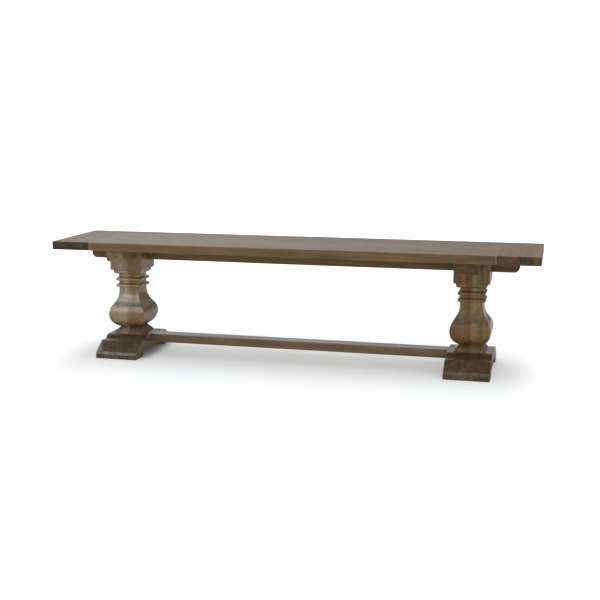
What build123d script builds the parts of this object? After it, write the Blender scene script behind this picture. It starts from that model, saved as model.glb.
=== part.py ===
from build123d import *
import os
from math import acos, atan2, cos, hypot, sin

# Trestle bench: a plank seat with end boards on two square vase posts, sled feet and a low stretcher.
# Millimetres, +Z up. X runs along the bench, Y from front (-) to back (+), and Z is zero on the floor.

# Seat
bench_height = 460
seat_length = 1862
seat_width = 392
seat_thickness = 32.5
seat_board_count = 5
seat_edge_radius = 2.5
end_board_width = 154
end_corner_radius = 4
tongue_length = 26
tongue_thickness = 10
tongue_setback = 24
tongue_end_gap = 1.5
tongue_play = 0.1
joint_groove_depth = 1
peg_diameter = 8
peg_length = 25

# Rail and cleats under the seat
rail_end_inset = 80
rail_width = 25
rail_height = 54
rail_end_radius = 22
rail_edge_radius = 5
cleat_length = 346
cleat_width = 68
cleat_height = 46
cleat_end_radius = 20
cleat_edge_radius = 2
lap_depth = 23

# Posts: half widths from the post's own axis, heights from the floor, and the axis in from the seat's end
post_inset = 250
head_half = 67
head_bottom = 334
head_edge_radius = 3
band_half = 58
ovolo_top = 328.5
ovolo_radius = 12
neck_half = 42
collar_bottoms = (288, 262.5)
collar_height = 16
collar_reach = 9.5
collar_nose_radius = 7
vase_top = 251
vase_widest = 155
vase_half = 76
vase_upper_share = 0.41
waist_half = 41
waist_height = 101.5
plinth_half = 59
plinth_lip = 4

# Feet
foot_width = 169
foot_length = 378
foot_height = 76
foot_flat_margin = 1
foot_shoulder_run = 29
foot_shoulder_drop = 12.5
foot_step_drop = 2
foot_ledge_run = 41
toe_height = 27
toe_slope_inset = 5
toe_radius = 9
foot_sole_radius = 3
foot_arris_radius = 2
pad_length = 72
arch_height = 22
arch_end_run = 7
arch_corner_radius = 6

# Stretcher
stretcher_width = 62
stretcher_height = 32.5
stretcher_bottom = 42
stretcher_edge_radius = 2
stub_length = 20
stub_width = 40
stub_height = 18

# Fastenings
fit_clearance = 0.15
screw_diameter = 5
screw_head_diameter = 9.5
screw_head_height = 3
screw_point_length = 6
screw_tip_diameter = 1.2
driver_slot_share = 0.6
driver_slot_width = 1.2
driver_slot_depth = 1.4
screw_pocket_diameter = 11
screw_grip = 26
seat_bite = 17
rail_screw_pitch = 260
rail_screw_pairs = 2
rail_end_screw_inset = 36
cleat_screw_places = (-148, -96, 96, 148)
head_screw_diameter = 6
head_screw_head_diameter = 12
head_screw_head_height = 4
head_screw_offset = 44
head_screw_bite = 46
foot_dowel_diameter = 10
foot_dowel_length = 50
foot_dowel_offset = 20
foot_screw_diameter = 8
foot_screw_offset = 26
foot_screw_bite = 50
foot_screw_head_width = 13
foot_screw_head_height = 5.5
foot_pocket_diameter = 24
foot_pocket_depth = 10
washer_diameter = 20
washer_thickness = 1.6
bolt_diameter = 8
bolt_head_diameter = 13
bolt_head_height = 8
bolt_socket_width = 6
bolt_socket_depth = 4
bolt_pocket_diameter = 22
bolt_pocket_depth = 50
bolt_past_nut = 4
nut_diameter = 12
nut_length = 24
nut_inset = 45
plug_thickness = 10

# Levels and places that follow from the sizes above
seat_bottom = bench_height - seat_thickness
seat_middle = bench_height - seat_thickness / 2
panel_length = seat_length - 2 * end_board_width
post_place = seat_length / 2 - post_inset
rail_length = seat_length - 2 * rail_end_inset
rail_bottom = seat_bottom - rail_height
cleat_bottom = seat_bottom - cleat_height
lap_level = seat_bottom - lap_depth
foot_inner_face = post_place - foot_width / 2
foot_outer_face = post_place + foot_width / 2
stretcher_axis = stretcher_bottom + stretcher_height / 2
rail_end_screw = rail_length / 2 - rail_end_screw_inset
rail_screw_row = [n * rail_screw_pitch for n in range(-rail_screw_pairs, rail_screw_pairs + 1)]
rail_screw_places = [-rail_end_screw, *rail_screw_row, rail_end_screw]
far = seat_length
place_tolerance = 0.001
sides = {"left": -1, "right": 1}


def block(x, y, z):
    """A box between two limits on each axis."""
    size = [high - low for low, high in (x, y, z)]
    middle = [(high + low) / 2 for low, high in (x, y, z)]
    return Pos(*middle) * Box(*size)


def upright(diameter, low, high, x=0, y=0):
    """An upright round bar or bore."""
    return Pos(x, y, (low + high) / 2) * Cylinder(diameter / 2, high - low)


def lengthwise(diameter, low, high, y, z):
    """A round bar or bore along X."""
    return Pos((low + high) / 2, y, z) * Rot(0, 90, 0) * Cylinder(diameter / 2, high - low)


def bore_of(diameter):
    """The hole that a round piece of this diameter slips into."""
    return diameter + 2 * fit_clearance


def edges_along(shape, axis, where):
    """The straight edges along an axis for which a test on the edge's middle holds."""
    return shape.edges().filter_by(axis).filter_by(lambda edge: where(edge.center()))


def close_to(value, target):
    return abs(value - target) < place_tolerance


# Seat

def tongue_places():
    """Where each board's tongue is pegged: the middle of the board."""
    board_width = seat_width / seat_board_count
    return [(n + 0.5) * board_width - seat_width / 2 for n in range(seat_board_count)]


def tongue(play=0.0, length=tongue_length):
    """Both tongues of the panel in one bar, or with play their grooves."""
    half_length = panel_length / 2 + length
    half_width = seat_width / 2 - tongue_setback + play
    half_thickness = tongue_thickness / 2 + play
    return block((-half_length, half_length), (-half_width, half_width),
                 (seat_middle - half_thickness, seat_middle + half_thickness))


def peg_row(diameter, length):
    """Upright pegs, or their holes, through the tongues of both seat ends."""
    place = panel_length / 2 + tongue_length / 2
    row = []
    for y in tongue_places():
        for x in (-place, place):
            row.append(upright(diameter, seat_bottom, seat_bottom + length, x, y))
    return row


def joint_grooves():
    """Fine V grooves in the seat's front and back edges, where the panel meets the end boards."""
    side = joint_groove_depth * 2 ** 0.5
    groove = Rot(0, 0, 45) * Box(side, side, 2 * bench_height)
    grooves = []
    for x in (-panel_length / 2, panel_length / 2):
        for y in (-seat_width / 2, seat_width / 2):
            grooves.append(Pos(x, y, 0) * groove)
    return grooves


def seat_boards():
    """The panel's boards from front to back, each with its share of the tongues and its screw holes."""
    panel = block((-panel_length / 2, panel_length / 2), (-seat_width / 2, seat_width / 2),
                  (seat_bottom, bench_height))
    long_edges = edges_along(panel, Axis.X, lambda middle: True)
    panel = fillet(long_edges, seat_edge_radius) + tongue()
    for hole in peg_row(bore_of(peg_diameter), peg_length) + joint_grooves():
        panel -= hole
    for x, y in seat_screw_places():
        panel -= upright(bore_of(screw_diameter), seat_bottom, seat_bottom + seat_bite, x, y)
    width = seat_width / seat_board_count
    boards = []
    for n in range(seat_board_count):
        front = n * width - seat_width / 2
        boards.append(panel & block((-far, far), (front, front + width), (0, bench_height)))
    return boards


def seat_end(side):
    """One end board, grooved over the tongues."""
    inner = panel_length / 2
    board = block((inner, seat_length / 2), (-seat_width / 2, seat_width / 2), (seat_bottom, bench_height))
    corners = edges_along(board, Axis.Z, lambda middle: close_to(middle.X, seat_length / 2))
    board = fillet(corners, end_corner_radius)
    outline = board.faces().sort_by(Axis.Z)[-1].edges() + board.faces().sort_by(Axis.Z)[0].edges()
    outline = outline.filter_by(lambda edge: not close_to(edge.center().X, inner))
    board = fillet(outline, seat_edge_radius)
    board -= tongue(tongue_play, tongue_length + tongue_end_gap)
    for hole in peg_row(bore_of(peg_diameter), peg_length) + joint_grooves():
        board -= hole
    for x in rail_screw_places:
        board -= upright(bore_of(screw_diameter), seat_bottom, seat_bottom + seat_bite, abs(x), 0)
    return board if side > 0 else mirror(board, Plane.YZ)


def seat_end_pegs(side):
    """Blind pegs that hold one end board on the tongues."""
    pegs = peg_row(peg_diameter, peg_length)
    return Compound(children=[peg for peg in pegs if peg.center().X * side > 0])


# Bearers under the seat

def seat_screw_places():
    """Where a screw enters the seat: along the rail, and along each cleat."""
    places = [(x, 0) for x in rail_screw_places]
    for side in sides.values():
        places += [(side * post_place, y) for y in cleat_screw_places]
    return places


def screw_pocket(x, y, bottom):
    """Clearance hole and deep pocket for a seat screw, from a bearer's lower face."""
    pocket = upright(screw_pocket_diameter, bottom, seat_bottom - screw_grip, x, y)
    return pocket + upright(bore_of(screw_diameter), bottom, seat_bottom, x, y)


def lower_outline(bearer, axis):
    """The edges of a bearer's two broad sides, apart from those along its top."""
    sides_of_bearer = bearer.faces().sort_by(axis)
    outline = sides_of_bearer[0].edges() + sides_of_bearer[-1].edges()
    return outline.filter_by(lambda edge: not close_to(edge.center().Z, seat_bottom))


def seat_rail():
    """Long rail on edge, lapped into the cleats."""
    half = rail_length / 2
    rail = block((-half, half), (-rail_width / 2, rail_width / 2), (rail_bottom, seat_bottom))
    ends = edges_along(rail, Axis.Y, lambda middle: close_to(middle.Z, rail_bottom))
    rail = fillet(ends, rail_end_radius)
    rail = fillet(lower_outline(rail, Axis.Y), rail_edge_radius)
    reach = cleat_width / 2 + fit_clearance
    for side in sides.values():
        middle = side * post_place
        rail -= block((middle - reach, middle + reach), (-rail_width, rail_width), (lap_level, seat_bottom))
    for x in rail_screw_places:
        rail -= screw_pocket(x, 0, rail_bottom)
    return rail


def cleat(side):
    """Front-to-back bearer on one post, lapped over the rail."""
    half = cleat_length / 2
    bearer = block((-cleat_width / 2, cleat_width / 2), (-half, half), (cleat_bottom, seat_bottom))
    ends = edges_along(bearer, Axis.X, lambda middle: close_to(middle.Z, cleat_bottom))
    bearer = fillet(ends, cleat_end_radius)
    bearer = fillet(lower_outline(bearer, Axis.X), cleat_edge_radius)
    reach = rail_width / 2 + fit_clearance
    bearer -= block((-cleat_width, cleat_width), (-reach, reach), (cleat_bottom, lap_level))
    for y in cleat_screw_places:
        bearer -= screw_pocket(0, y, cleat_bottom)
    for y in (-head_screw_offset, head_screw_offset):
        bearer -= upright(bore_of(head_screw_diameter), cleat_bottom, seat_bottom, 0, y)
        bearer -= countersink(head_screw_diameter, head_screw_head_diameter, head_screw_head_height, 0, y)
    return Pos(side * post_place, 0, 0) * bearer


def countersink(diameter, head_diameter, head_height, x, y):
    """Conical seat for a screw head that lies flush under the seat."""
    cone = Cone(bore_of(diameter) / 2, bore_of(head_diameter) / 2, head_height)
    return Pos(x, y, seat_bottom - head_height / 2) * cone


# Posts

def vase_line():
    """Half outline of the vase, from the waist to its top: two round flanks and a hollow throat."""
    lower = widest_to_waist()
    rise = vase_top - vase_widest
    swell = vase_half - neck_half
    turn_place = (vase_half - vase_upper_share * swell, vase_widest + vase_upper_share * rise)
    upper = TangentArc((vase_half, vase_widest), turn_place, tangent=(0, 1))
    throat = TangentArc((neck_half, vase_top), turn_place, tangent=(0, -1))
    return lower + upper + throat


def widest_to_waist():
    """The vase's lower flank: an arc that is upright where the vase is widest."""
    return TangentArc((vase_half, vase_widest), (waist_half, waist_height), tangent=(0, -1))


def collar_line(bottom):
    """Half outline of a collar: flat below, a round nose, and a straight slope up to the neck."""
    nose = (neck_half + collar_reach - collar_nose_radius, bottom + collar_nose_radius)
    top = (neck_half, bottom + collar_height)
    run, rise = top[0] - nose[0], top[1] - nose[1]
    turn = atan2(rise, run) - acos(collar_nose_radius / hypot(run, rise))
    slope_start = (nose[0] + collar_nose_radius * cos(turn), nose[1] + collar_nose_radius * sin(turn))
    line = Line((neck_half, bottom), (nose[0], bottom))
    line += TangentArc((nose[0], bottom), slope_start, tangent=(1, 0))
    return line + Line(slope_start, top)


def post_outline():
    """Half outline of a post in half width and height, closed on the post's axis."""
    line = Polyline((0, foot_height), (plinth_half, foot_height), (plinth_half, foot_height + plinth_lip),
                    (waist_half, waist_height))
    line += vase_line()
    level = vase_top
    for bottom in sorted(collar_bottoms):
        line += Line((neck_half, level), (neck_half, bottom))
        line += collar_line(bottom)
        level = bottom + collar_height
    ovolo_inner = band_half - ovolo_radius
    ovolo_bottom = ovolo_top - ovolo_radius
    line += Polyline((neck_half, level), (neck_half, ovolo_bottom), (ovolo_inner, ovolo_bottom))
    line += TangentArc((band_half, ovolo_top), (ovolo_inner, ovolo_bottom), tangent=(0, -1))
    head_flat_end = (head_half - head_edge_radius, head_bottom)
    head_side_start = (head_half, head_bottom + head_edge_radius)
    line += Polyline((band_half, ovolo_top), (band_half, head_bottom), head_flat_end)
    line += TangentArc(head_flat_end, head_side_start, tangent=(1, 0))
    line += Polyline(head_side_start, (head_half, seat_bottom), (0, seat_bottom), (0, foot_height))
    return line


def post_blank():
    """The whole post, square in section at every height, before it is parted into staves."""
    half = make_face(post_outline())
    outline = half + mirror(half, Plane.YZ)
    broad = extrude(Plane.XZ * outline, amount=far, both=True)
    deep = extrude(Plane.YZ * outline, amount=far, both=True)
    return broad & deep


def rail_slot(low):
    """The gap through a post's head that the rail drops into."""
    reach = rail_width / 2 + fit_clearance
    return block((-far, far), (-reach, reach), (low, seat_bottom))


def post_core(blank, side):
    """Middle stave: it carries the cleat, and stands on the foot with dowels and screws."""
    half = cleat_width / 2
    core = blank & block((-half, half), (-far, far), (foot_height, cleat_bottom))
    core -= rail_slot(rail_bottom)
    for y in (-head_screw_offset, head_screw_offset):
        core -= upright(bore_of(head_screw_diameter), cleat_bottom - head_screw_bite, cleat_bottom, 0, y)
    for dowel in foot_dowel_bars(bore_of(foot_dowel_diameter), foot_dowel_length / 2):
        core -= dowel
    for y in (-foot_screw_offset, foot_screw_offset):
        core -= upright(bore_of(foot_screw_diameter), foot_height, foot_height + foot_screw_bite, 0, y)
    return Pos(side * post_place, 0, 0) * core


def post_cheek(blank, side, outward):
    """Outer stave: its top stands beside the cleat up to the seat."""
    half = cleat_width / 2
    cheek = blank & block((half, far), (-far, far), (foot_height, seat_bottom))
    cheek -= rail_slot(rail_bottom)
    if side * outward < 0:
        cheek = mirror(cheek, Plane.YZ)
    return Pos(side * post_place, 0, 0) * cheek


# Feet and stretcher

def foot_side():
    """Half outline of a foot seen from its side, in depth towards the toe and height."""
    flat = plinth_half + foot_flat_margin
    shoulder = (flat + foot_shoulder_run, foot_height - foot_shoulder_drop)
    ledge_level = shoulder[1] - foot_step_drop
    ledge_end = shoulder[0] + foot_ledge_run
    half = foot_length / 2
    sole_end = half - pad_length
    line = Polyline((0, arch_height), (0, foot_height), (flat, foot_height))
    line += TangentArc((flat, foot_height), shoulder, tangent=(1, 0))
    line += Polyline(shoulder, (shoulder[0], ledge_level), (ledge_end, ledge_level),
                     (half - toe_slope_inset, toe_height), (half, toe_height - toe_radius), (half, 0),
                     (sole_end, 0), (sole_end - arch_end_run, arch_height), (0, arch_height))
    return line


def foot_blank():
    """The foot's block: its outline drawn out to the foot's width, with its edges eased."""
    half = make_face(foot_side())
    outline = half + mirror(half, Plane.YZ)
    foot = extrude(Plane.YZ * outline, amount=foot_width / 2, both=True)
    reach = foot_length / 2
    upper_toes = edges_along(foot, Axis.X, lambda middle: close_to(middle.Z, toe_height))
    lower_toes = edges_along(foot, Axis.X, lambda middle: close_to(middle.Z, toe_height - toe_radius))
    foot = fillet(upper_toes + lower_toes, toe_radius)
    soles = edges_along(foot, Axis.X, lambda middle: close_to(abs(middle.Y), reach) and close_to(middle.Z, 0))
    foot = fillet(soles, foot_sole_radius)
    arch = edges_along(foot, Axis.X, lambda middle: close_to(middle.Z, arch_height))
    foot = fillet(arch, arch_corner_radius)
    outlines = foot.faces().sort_by(Axis.X)[0].edges() + foot.faces().sort_by(Axis.X)[-1].edges()
    return fillet(outlines, foot_arris_radius)


def foot_dowel_bars(diameter, reach):
    """Two dowels, or their holes, set cornerwise across the joint of foot and post."""
    bars = []
    for place in (-foot_dowel_offset, foot_dowel_offset):
        bars.append(upright(diameter, foot_height - reach, foot_height + reach, place, place))
    return bars


def foot(blank, side):
    """One foot, mortised for the stretcher and bored for its fastenings."""
    sled = blank
    for dowel in foot_dowel_bars(bore_of(foot_dowel_diameter), foot_dowel_length / 2):
        sled -= dowel
    for y in (-foot_screw_offset, foot_screw_offset):
        sled -= upright(bore_of(foot_screw_diameter), arch_height, foot_height, 0, y)
        sled -= upright(foot_pocket_diameter, arch_height, arch_height + foot_pocket_depth, 0, y)
    inner = -foot_width / 2
    outer = foot_width / 2
    sled -= stub(inner, fit_clearance)
    sled -= lengthwise(bore_of(bolt_diameter), inner, outer, 0, stretcher_axis)
    sled -= lengthwise(bore_of(bolt_pocket_diameter), outer - bolt_pocket_depth, outer, 0, stretcher_axis)
    return Pos(side * post_place, 0, 0) * on_side(sled, side)


def stub(start, play=0.0):
    """The stretcher's stub tenon along +X from its shoulder, or with play its mortise."""
    half_width = stub_width / 2 + play
    half_height = stub_height / 2 + play
    return block((start, start + stub_length + play), (-half_width, half_width),
                 (stretcher_axis - half_height, stretcher_axis + half_height))


def stretcher():
    """Low rail between the feet, with a stub tenon, a bolt bore and a barrel nut hole at each end."""
    half_width = stretcher_width / 2
    bar = block((-foot_inner_face, foot_inner_face), (-half_width, half_width),
                (stretcher_bottom, stretcher_bottom + stretcher_height))
    bar = fillet(edges_along(bar, Axis.X, lambda middle: True), stretcher_edge_radius)
    bore_end = foot_inner_face - nut_inset - nut_diameter / 2 - bolt_past_nut - fit_clearance
    for turn in (0, 180):
        tenon = stub(foot_inner_face)
        bore = lengthwise(bore_of(bolt_diameter), bore_end, foot_inner_face + stub_length, 0, stretcher_axis)
        nut_hole = upright(bore_of(nut_diameter), stretcher_bottom, stretcher_axis + nut_length / 2,
                           foot_inner_face - nut_inset)
        bar += Rot(0, 0, turn) * tenon
        bar -= Rot(0, 0, turn) * bore
        bar -= Rot(0, 0, turn) * nut_hole
    return bar


# Fastenings

def pointed_shank(diameter, start, end):
    """A screw's shank along +Z, drawn to a point at its end."""
    point_start = end - screw_point_length
    point = Cone(diameter / 2, screw_tip_diameter / 2, screw_point_length)
    return upright(diameter, start, point_start) + Pos(0, 0, (point_start + end) / 2) * point


def cross_slot(head_diameter, face):
    """The driver's cross slot, cut upwards from a screw head's lower face."""
    slot = Box(head_diameter * driver_slot_share, driver_slot_width, driver_slot_depth)
    slot = Pos(0, 0, face + driver_slot_depth / 2) * slot
    return slot + Rot(0, 0, 90) * slot


def pointed_screw(diameter, head_diameter, head_height, length):
    """A countersunk wood screw along +Z, head down, with the face of its head at zero."""
    head = Pos(0, 0, head_height / 2) * Cone(head_diameter / 2, diameter / 2, head_height)
    return head + pointed_shank(diameter, head_height, length) - cross_slot(head_diameter, 0)


def pan_screw(diameter, head_diameter, head_height, length):
    """A flat-headed wood screw along +Z, with the underside of its head at zero."""
    head = upright(head_diameter, -head_height, 0)
    return head + pointed_shank(diameter, 0, length) - cross_slot(head_diameter, -head_height)


def seat_screws(places):
    """Screws from a bearer's pockets up into the seat."""
    screw = pan_screw(screw_diameter, screw_head_diameter, screw_head_height, screw_grip + seat_bite)
    return Compound(children=[Pos(x, y, seat_bottom - screw_grip) * screw for x, y in places])


def head_screws(side):
    """Screws from the cleat's top down into the post's core."""
    length = cleat_height + head_screw_bite
    screw = pointed_screw(head_screw_diameter, head_screw_head_diameter, head_screw_head_height, length)
    places = (-head_screw_offset, head_screw_offset)
    screw = Rot(180, 0, 0) * screw
    return Compound(children=[Pos(side * post_place, y, seat_bottom) * screw for y in places])


def foot_dowels(side):
    bars = foot_dowel_bars(foot_dowel_diameter, foot_dowel_length / 2)
    return Compound(children=[Pos(side * post_place, 0, 0) * bar for bar in bars])


def foot_screws(side):
    """Hexagon-headed screws from pockets in the arch up into the post's core."""
    seat = arch_height + foot_pocket_depth - washer_thickness
    tip = foot_height + foot_screw_bite
    hexagon = RegularPolygon(foot_screw_head_width / 2, 6, major_radius=False)
    head = Pos(0, 0, seat - foot_screw_head_height) * extrude(hexagon, amount=foot_screw_head_height)
    screw = head + pointed_shank(foot_screw_diameter, seat, tip)
    places = (-foot_screw_offset, foot_screw_offset)
    return Compound(children=[Pos(side * post_place, y, 0) * screw for y in places])


def foot_washers(side):
    top = arch_height + foot_pocket_depth
    washer = upright(washer_diameter, top - washer_thickness, top)
    washer -= upright(bore_of(foot_screw_diameter), top - washer_thickness, top)
    places = (-foot_screw_offset, foot_screw_offset)
    return Compound(children=[Pos(side * post_place, y, 0) * washer for y in places])


def on_side(shape, side):
    """A piece made for the right-hand end, or the same piece turned to the left-hand end."""
    return shape if side > 0 else Rot(0, 0, 180) * shape


def stretcher_bolt(side):
    """Socket-headed bolt from the foot's outer pocket into the barrel nut."""
    seat = foot_outer_face - bolt_pocket_depth + washer_thickness
    tip = foot_inner_face - nut_inset - nut_diameter / 2 - bolt_past_nut
    head = lengthwise(bolt_head_diameter, seat, seat + bolt_head_height, 0, stretcher_axis)
    shank = lengthwise(bolt_diameter, tip, seat, 0, stretcher_axis)
    hexagon = Rot(0, 90, 0) * RegularPolygon(bolt_socket_width / 2, 6, major_radius=False)
    socket = extrude(hexagon, amount=bolt_socket_depth, dir=(1, 0, 0))
    socket = Pos(seat + bolt_head_height - bolt_socket_depth, 0, stretcher_axis) * socket
    return on_side(head + shank - socket, side)


def stretcher_washer(side):
    seat = foot_outer_face - bolt_pocket_depth
    washer = lengthwise(washer_diameter, seat, seat + washer_thickness, 0, stretcher_axis)
    washer -= lengthwise(bore_of(bolt_diameter), seat, seat + washer_thickness, 0, stretcher_axis)
    return on_side(washer, side)


def stretcher_nut(side):
    """Barrel nut that stands in the stretcher across the bolt."""
    middle = foot_inner_face - nut_inset
    low = stretcher_axis - nut_length / 2
    high = stretcher_axis + nut_length / 2
    across = (middle - nut_diameter, middle + nut_diameter)
    nut = upright(nut_diameter, low, high, middle)
    nut -= lengthwise(bore_of(bolt_diameter), *across, 0, stretcher_axis)
    slot = block(across, (-driver_slot_width / 2, driver_slot_width / 2), (low, low + driver_slot_depth))
    return on_side(nut - slot, side)


def stretcher_plug(side):
    """Wooden plug that closes the bolt's pocket, flush with the foot's outer face."""
    inner_face = foot_outer_face - plug_thickness
    return on_side(lengthwise(bolt_pocket_diameter, inner_face, foot_outer_face, 0, stretcher_axis), side)


def all_pieces():
    pieces = {}
    for n, board in enumerate(seat_boards()):
        pieces[f"seat_board_{n + 1}"] = board
    pieces["seat_rail"] = seat_rail()
    pieces["stretcher"] = stretcher()
    pieces["rail_screws"] = seat_screws([(x, 0) for x in rail_screw_places])
    post = post_blank()
    sled = foot_blank()
    for name, side in sides.items():
        pieces[f"seat_end_{name}"] = seat_end(side)
        pieces[f"seat_end_pegs_{name}"] = seat_end_pegs(side)
        pieces[f"cleat_{name}"] = cleat(side)
        pieces[f"cleat_screws_{name}"] = seat_screws([(side * post_place, y) for y in cleat_screw_places])
        pieces[f"post_core_{name}"] = post_core(post, side)
        pieces[f"post_cheek_outer_{name}"] = post_cheek(post, side, 1)
        pieces[f"post_cheek_inner_{name}"] = post_cheek(post, side, -1)
        pieces[f"head_screws_{name}"] = head_screws(side)
        pieces[f"foot_{name}"] = foot(sled, side)
        pieces[f"foot_dowels_{name}"] = foot_dowels(side)
        pieces[f"foot_screws_{name}"] = foot_screws(side)
        pieces[f"foot_washers_{name}"] = foot_washers(side)
        pieces[f"stretcher_bolt_{name}"] = stretcher_bolt(side)
        pieces[f"stretcher_washer_{name}"] = stretcher_washer(side)
        pieces[f"stretcher_nut_{name}"] = stretcher_nut(side)
        pieces[f"stretcher_plug_{name}"] = stretcher_plug(side)
    return pieces


os.makedirs("parts", exist_ok=True)
for node, piece in all_pieces().items():
    export_step(piece, f"parts/{node}.step")
    print(node, len(piece.solids()), round(piece.volume / 1000, 1), "cm3")
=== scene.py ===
import math
from collections import namedtuple

import bmesh
import bpy
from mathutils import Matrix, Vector


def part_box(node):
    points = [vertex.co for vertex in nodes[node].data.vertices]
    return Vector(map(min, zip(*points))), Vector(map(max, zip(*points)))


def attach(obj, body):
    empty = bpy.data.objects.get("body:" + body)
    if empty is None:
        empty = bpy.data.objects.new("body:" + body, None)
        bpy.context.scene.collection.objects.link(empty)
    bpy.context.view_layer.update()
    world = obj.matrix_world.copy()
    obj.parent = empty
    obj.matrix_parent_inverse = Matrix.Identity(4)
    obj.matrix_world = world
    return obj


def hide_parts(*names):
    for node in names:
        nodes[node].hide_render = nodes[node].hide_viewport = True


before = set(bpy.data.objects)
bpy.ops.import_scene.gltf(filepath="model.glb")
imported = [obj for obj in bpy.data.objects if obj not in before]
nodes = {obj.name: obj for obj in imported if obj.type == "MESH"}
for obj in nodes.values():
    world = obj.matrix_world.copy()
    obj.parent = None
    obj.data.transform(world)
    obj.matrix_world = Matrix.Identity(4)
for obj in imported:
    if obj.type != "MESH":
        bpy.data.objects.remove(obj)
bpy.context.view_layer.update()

hands = ("left", "right")

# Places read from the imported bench, in metres
seat_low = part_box("seat_end_left")[0]
seat_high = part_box("seat_end_right")[1]
left_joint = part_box("seat_end_left")[1].x
right_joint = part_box("seat_end_right")[0].x
board_starts = [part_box(f"seat_board_{n}")[0].y for n in range(1, 6)]
foot_boxes = {hand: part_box(f"foot_{hand}") for hand in hands}
core_boxes = {hand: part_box(f"post_core_{hand}") for hand in hands}
cleat_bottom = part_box("cleat_left")[0].z
rail_low, rail_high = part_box("seat_rail")
post_axis = {hand: sum(corner.x for corner in core_boxes[hand]) / 2 for hand in hands}
stave_half = (core_boxes["left"][1].x - core_boxes["left"][0].x) / 2
vase_half = core_boxes["left"][1].y
foot_top = core_boxes["left"][0].z
head_top = seat_low.z

# The post's outline: half widths from its axis and heights from the floor
plinth_half = 0.059
plinth_lip = 0.004
waist_half = 0.041
waist_height = 0.1015
vase_widest = 0.155
vase_top = 0.251
vase_upper_share = 0.41
neck_half = 0.042
collar_bottoms = (0.2625, 0.288)
collar_height = 0.016
collar_reach = 0.0095
collar_nose_radius = 0.007
ovolo_top = 0.3285
ovolo_radius = 0.012
neck_top = ovolo_top - ovolo_radius
band_half = 0.058
head_bottom = 0.334
head_half = 0.067
head_edge_radius = 0.003
post_arris_radius = 0.0018
post_arris_steps = 4
rail_slot_play = 0.00015
arc_step = math.radians(7)

# Meshes: bends up to this angle are shaded smooth, and corners this close are one
crisp_angle = math.radians(32)
merge_distance = 0.00001

# Camera, fitted to the seat's corners, the feet and the posts
camera_place = (0.9847, -3.8499, 0.9603)
camera_tilt = -0.18089
camera_turn = 0.24637
camera_lens = 62.158

# Wood: real sizes of its figure, in metres
ring_width = 0.0045
ring_wander = 0.030
wander_width = 0.14
wander_length = 0.7
fibre_width = 0.0011
fibre_length = 0.09
streak_width = 0.0099
pore_width = 0.00035
pore_length = 0.006
cloud_width = 0.07
cloud_length = 0.35
blot_width = 0.03
glue_line = 0.0004
relief_depth = 0.0004

# Wood: how far apart in the log the staves are cut, and how the rings run
stave_scatter = 0.22
log_stride = (3.1, 4.7, 5.9)
ring_slope = 0.018
late_wood_onset = 2.5
late_wood_end = (0.9, 1.0)

# Wood: levels of noise between which each part of the figure shows
broad_levels = (0.25, 0.75)
blot_levels = (0.3, 0.7)
pore_levels = (0.66, 0.76)

# Wood: how strongly each part of the figure changes the tone, and how much more on end grain
late_wood_depth = 0.32
late_wood_end_depth = 0.2
ring_variation = 0.2
ring_end_variation = 0.3
fibre_depth = 0.52
streak_depth = 0.32
pore_depth = 0.30
seam_depth = 0.28
# How deep the painted shade and the rail's darkening go
darkening_depth = 0.24
worn_gain = 0.35
worn_least = 0.35
# How much the pale sapwood and the pale joint lines, partly painted highlight, lighten
sapwood_and_highlight_gain = 0.7
hue_drift = 0.5

# Wood: relief and shine
fibre_relief = 0.5
pore_relief = 0.9
late_wood_relief = 0.25
relief_strength = 0.22
wood_roughness = 0.32
fibre_roughness = 0.14
pore_roughness = 0.12
end_roughness = 0.10
worn_polish = 0.05
lacquer_roughness = 0.07
wood_specular = 0.22

# Wear, stain, painted shade and painted highlights: where each mask begins and is full, in metres or as
# shares of the squared normal
board_bend = (0.05, 0.4)
side_bend = (0.1, 0.8)
upright_faces = (0.3, 0.8)
post_arris_wear = (0.0005, 0.0035)
joint_wear_and_highlight = (0.003, 0.007)
sap_offset = 0.028
sap_edge = (0.004, 0.006)
shoulder_start = (0.064, 0.080)
shoulder_end = (0.089, 0.091)
rail_darkening = (0.2, 0.85)
scuff_fade = 0.02
scuff_depth = 0.85
moulding_fade = 0.0005

# A stave's tone: how russet and light it is, a shift of its own for its figure, and how bleached it is
Tone = namedtuple("Tone", "russet light shift bleach", defaults=[0.0])

# End grain: how light it is, at which shares of the squared normal it begins and is full, and its blotches
EndGrain = namedtuple("EndGrain", "light begins full blots")


def srgb(red, green, blue):
    """A colour written in the usual 0 to 255 steps, as the linear values that sockets take."""
    def linear(step):
        share = step / 255
        return share / 12.92 if share <= 0.04045 else ((share + 0.055) / 1.055) ** 2.4
    return (linear(red), linear(green), linear(blue), 1.0)


olive_tan = srgb(120, 100, 66)
russet_brown = srgb(114, 80, 43)
pale_tan = srgb(128, 113, 92)


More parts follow.
